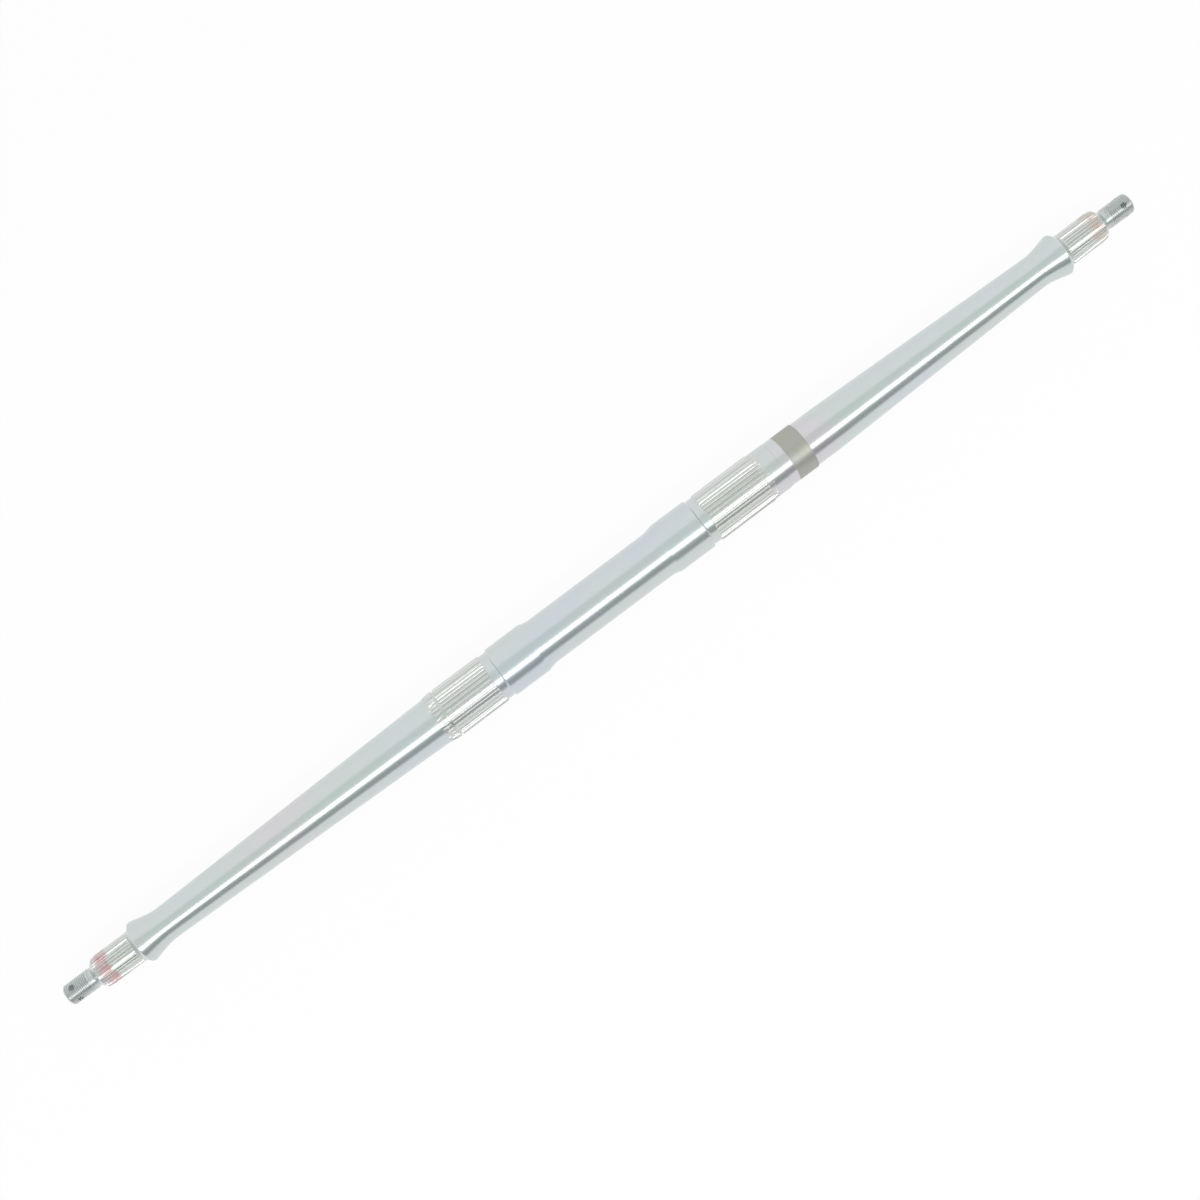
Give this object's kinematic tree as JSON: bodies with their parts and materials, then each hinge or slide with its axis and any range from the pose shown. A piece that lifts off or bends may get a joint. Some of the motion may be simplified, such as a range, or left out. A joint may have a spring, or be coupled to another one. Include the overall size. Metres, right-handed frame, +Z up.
{
  "type": "splined shaft",
  "caption": "Solid steel rear axle shaft with wheel and hub splines, tapered arms, bearing lands, a circlip groove and threaded ends crossed by split-pin holes.",
  "frame": {"origin": "on the shaft's axis, at the middle of its overall length", "axes": "+X along the axis towards the end with the bare journal band, +Z up"},
  "size_m": [0.953, 0.0398, 0.04],
  "materials": {
    "zinc_plated_steel": "bright zinc plating over machined steel, faintly iridescent"
  },
  "bodies": {
    "root": {"axle_shaft": "zinc_plated_steel"}
  },
  "joints": []
}
